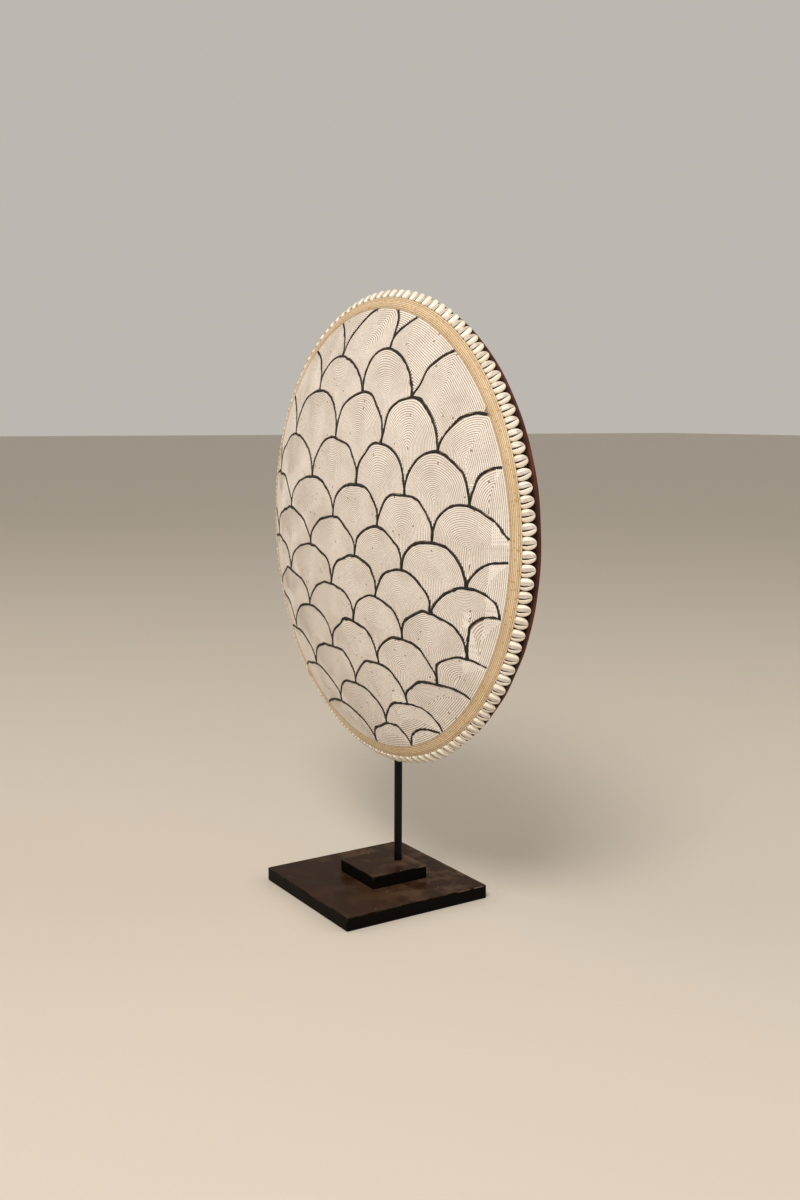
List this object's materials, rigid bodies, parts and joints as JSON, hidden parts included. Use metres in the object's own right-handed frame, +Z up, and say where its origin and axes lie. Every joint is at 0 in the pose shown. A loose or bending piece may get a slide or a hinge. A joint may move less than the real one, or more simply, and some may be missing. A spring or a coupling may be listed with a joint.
{
  "type": "beaded shield on a stand",
  "caption": "Round domed display shield: white beadwork with dark scale lines, bead band, cowrie rim, wooden back, on a black rod and square foot.",
  "frame": {"origin": "centre of the foot plate's underside", "axes": "+Z up along the rod, the beaded face looks along -Y, +X to the right of a person facing the shield"},
  "size_m": [0.5144, 0.18, 0.6648],
  "materials": {
    "ebonised_wood": "black lacquered wood, semi-gloss, worn at the edges",
    "blackened_steel": "satin black rod",
    "brown_wood": "carved wood, dark red-brown stain, matt, rubbed on the edges",
    "white_beads": "opaque warm white glass seed beads in couched rows",
    "black_beads": "opaque black glass seed beads in raised lines",
    "tan_beads": "opaque tan glass seed beads in round rows",
    "dark_cloth": "dark woven cloth under the shells and beads",
    "cowrie_shell": "cream cowrie shell, naturally glossy"
  },
  "bodies": {
    "root": {"foot_plate": "ebonised_wood", "foot_block": "ebonised_wood", "stand_rod": "blackened_steel", "shield_body": "brown_wood", "bead_face": "white_beads", "bead_band": "tan_beads", "cowrie_ring": "cowrie_shell"}
  },
  "joints": []
}
